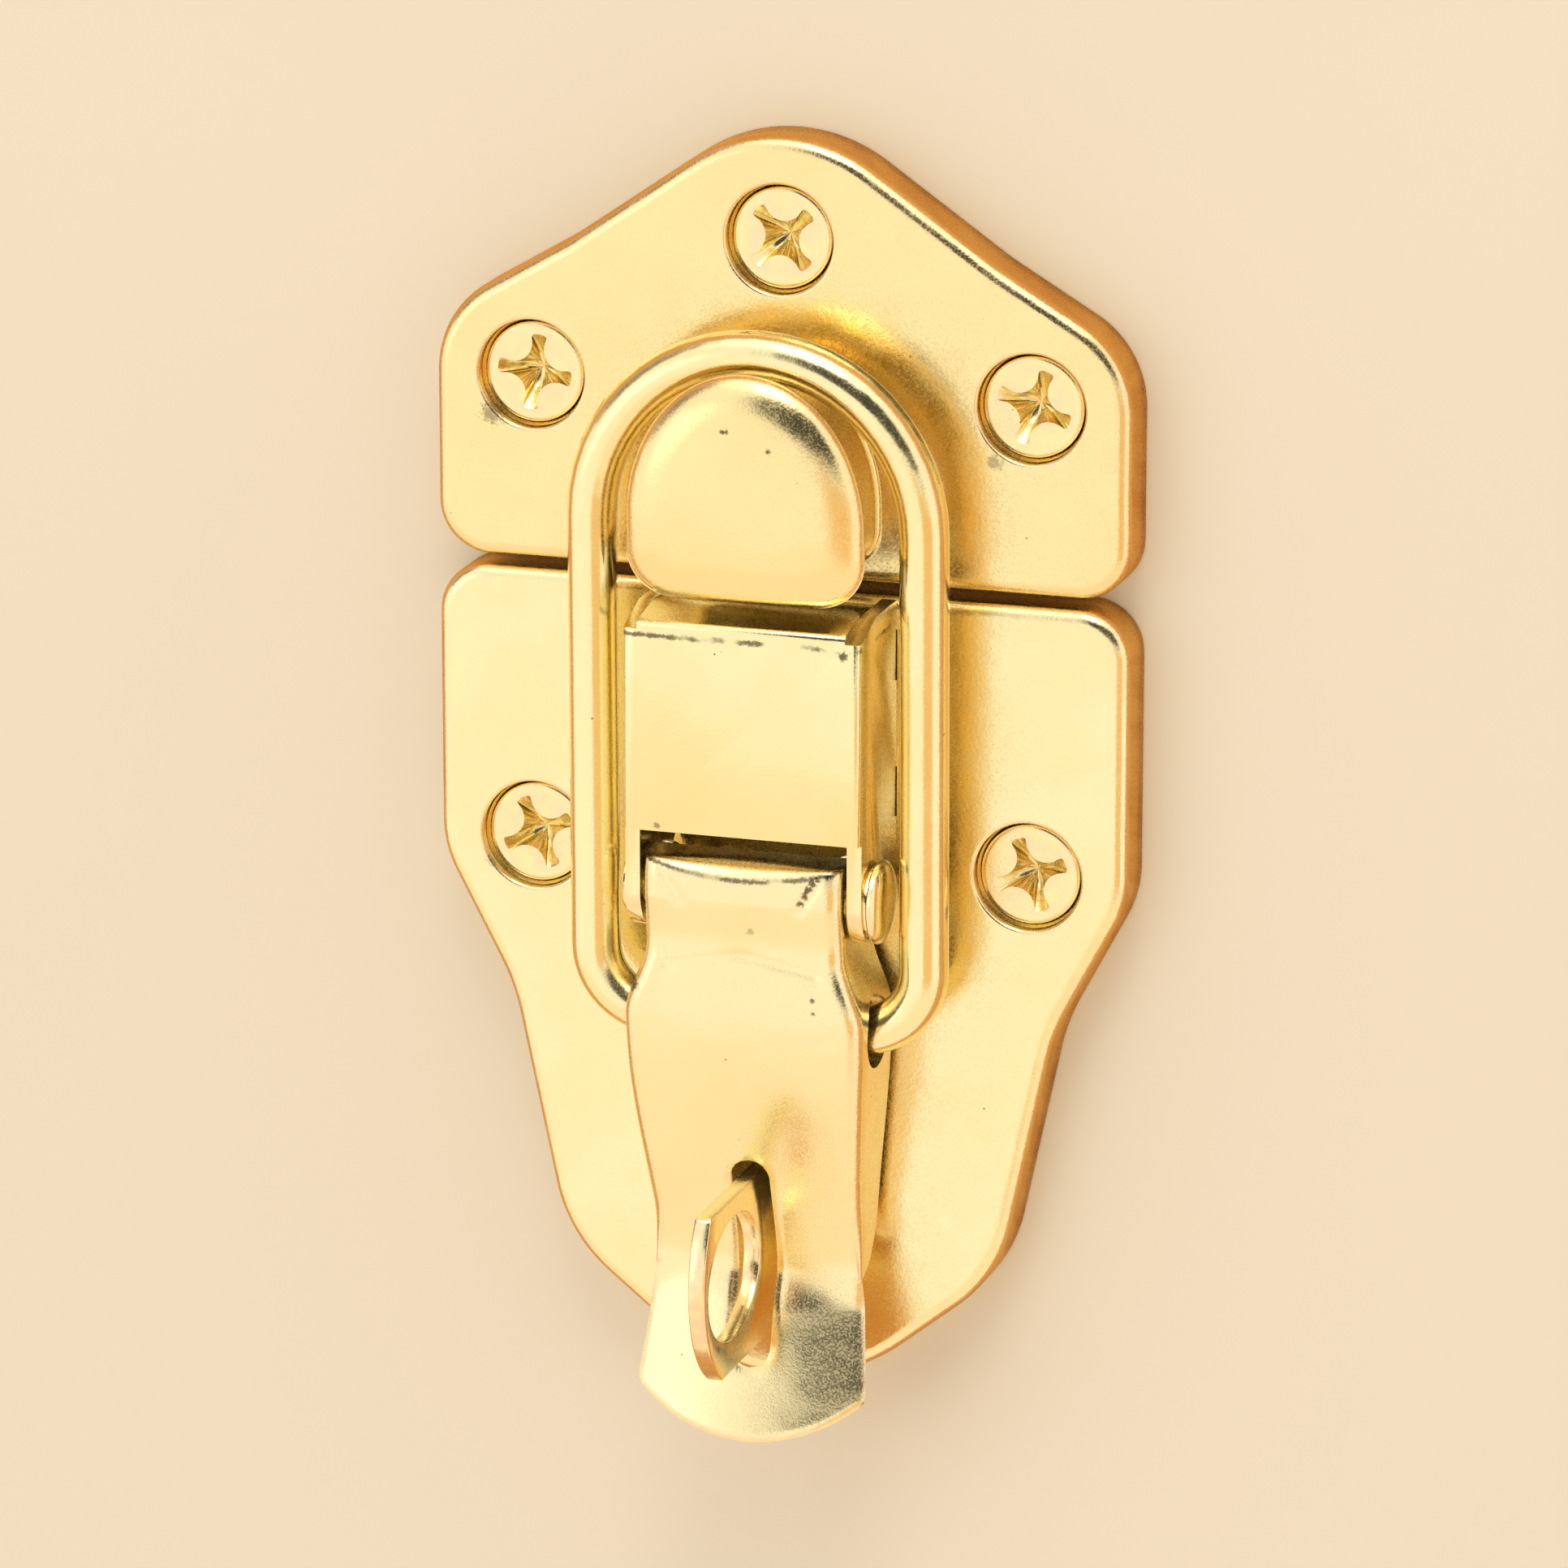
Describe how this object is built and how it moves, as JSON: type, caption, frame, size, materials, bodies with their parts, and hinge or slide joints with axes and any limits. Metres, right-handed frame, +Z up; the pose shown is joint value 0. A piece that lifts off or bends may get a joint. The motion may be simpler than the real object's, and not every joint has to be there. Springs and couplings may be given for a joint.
{
  "type": "locking draw latch",
  "caption": "Draw latch for a chest lid: lever on a pin pulls a wire bail over a domed hook, with a padlock staple.",
  "frame": {"origin": "on the mounting plane, on the centre line, at the parting line between lid and box", "axes": "+X to the right, +Z up from the box towards the lid, the front faces -Y and the wall is Y = 0"},
  "size_m": [0.0428, 0.0298, 0.0782],
  "materials": {
    "keeper_plate": "bright brass plate on pressed steel, satin polished",
    "base_plate": "bright brass plate on pressed steel, satin polished",
    "bracket": "bright brass plate on folded steel, satin polished",
    "pin": "brass plated steel rivet",
    "staple": "brass plated steel blanking, with sheared edges",
    "lever": "bright brass plate on pressed steel, satin polished",
    "bail": "brass plated steel wire, polished",
    "screws": "brass plated steel, polished heads"
  },
  "bodies": {
    "mounted": {"keeper_plate": "keeper_plate", "base_plate": "base_plate", "pivot_bracket": "bracket", "pivot_pin": "pin", "padlock_staple": "staple", "keeper_screw_top": "screws", "keeper_screw_left": "screws", "keeper_screw_right": "screws", "base_screw_left": "screws", "base_screw_right": "screws"},
    "lever": {"lever": "lever"},
    "bail": {"bail": "bail"}
  },
  "joints": [
    {"name": "lever_pivot", "type": "hinge", "parent": "mounted", "child": "lever", "pos_m": [0, -0.0082, -0.0177], "axis": [-1, 0, 0], "range_deg": [0, 90]},
    {"name": "bail_pivot", "type": "hinge", "parent": "lever", "child": "bail", "pos_m": [0, -0.0075, -0.0259], "axis": [-1, 0, 0], "range_deg": [-73.8, 0]}
  ],
  "couplings": [
    {"joint": "bail_pivot", "follows": "lever_pivot", "ratio": -0.82}
  ]
}
